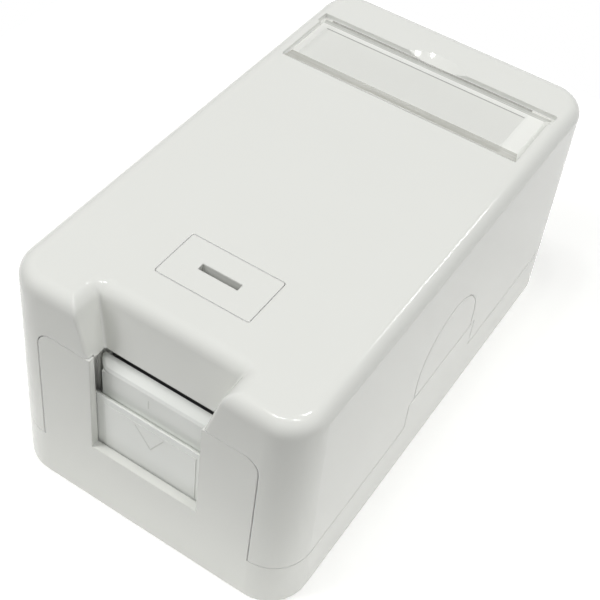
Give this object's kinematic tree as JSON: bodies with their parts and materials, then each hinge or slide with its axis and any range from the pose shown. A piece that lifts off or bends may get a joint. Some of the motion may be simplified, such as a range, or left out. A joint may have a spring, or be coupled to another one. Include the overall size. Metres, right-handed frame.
{
  "type": "surface mount jack box",
  "caption": "Low oblong box that holds a modular network jack on a wall, with a shuttered window, label strip and lift-off cover.",
  "frame": {"origin": "middle of the footprint, on the mounting surface", "axes": "+Z away from the mounting surface, +Y from the jack window to the rear wall, +X to the right seen from the window"},
  "size_m": [0.04, 0.071, 0.0328],
  "materials": {
    "housing": "satin",
    "shutter": "satin",
    "clear_window": "clear, polished",
    "label_paper": "plain paper",
    "jack_plastic": "moulded",
    "carrier_plastic": "moulded",
    "circuit_board": "solder mask",
    "contact_metal": "gold plated",
    "idc_metal": "tin plated"
  },
  "bodies": {
    "base": {"base": "housing", "jack_housing": "jack_plastic", "contact_carrier": "carrier_plastic", "circuit_board": "circuit_board", "termination_block_right": "jack_plastic", "termination_block_left": "jack_plastic", "contact_wire_1": "contact_metal", "contact_wire_2": "contact_metal", "contact_wire_3": "contact_metal", "contact_wire_4": "contact_metal", "contact_wire_5": "contact_metal", "contact_wire_6": "contact_metal", "contact_wire_7": "contact_metal", "contact_wire_8": "contact_metal", "idc_contact_1": "idc_metal", "idc_contact_2": "idc_metal", "idc_contact_3": "idc_metal", "idc_contact_4": "idc_metal", "idc_contact_5": "idc_metal", "idc_contact_6": "idc_metal", "idc_contact_7": "idc_metal", "idc_contact_8": "idc_metal"},
    "cover": {"cover": "housing", "label_card": "label_paper"},
    "label_window": {"label_window": "clear_window"},
    "icon_insert": {"icon_insert": "housing"},
    "lower_shutter": {"lower_shutter": "shutter"},
    "upper_shutter": {"upper_shutter": "shutter"},
    "termination_cap_right": {"termination_cap_right": "jack_plastic"},
    "termination_cap_left": {"termination_cap_left": "jack_plastic"}
  },
  "joints": [
    {"name": "cover_lift", "type": "slide", "parent": "base", "child": "cover", "axis": [0, 0, 1], "range_m": [0, 0.025]},
    {"name": "label_window_lift", "type": "slide", "parent": "cover", "child": "label_window", "axis": [0, 0, 1], "range_m": [0, 0.006]},
    {"name": "icon_insert_lift", "type": "slide", "parent": "cover", "child": "icon_insert", "axis": [0, 0, 1], "range_m": [0, 0.005]},
    {"name": "lower_shutter_slide", "type": "slide", "parent": "base", "child": "lower_shutter", "axis": [0, 0, -1], "range_m": [0, 0.0077]},
    {"name": "upper_shutter_slide", "type": "slide", "parent": "lower_shutter", "child": "upper_shutter", "axis": [0, 0, -1], "range_m": [0, 0.0054]},
    {"name": "cap_right_lift", "type": "slide", "parent": "base", "child": "termination_cap_right", "axis": [0, 0, 1], "range_m": [0, 0.005]},
    {"name": "cap_left_lift", "type": "slide", "parent": "base", "child": "termination_cap_left", "axis": [0, 0, 1], "range_m": [0, 0.005]}
  ]
}
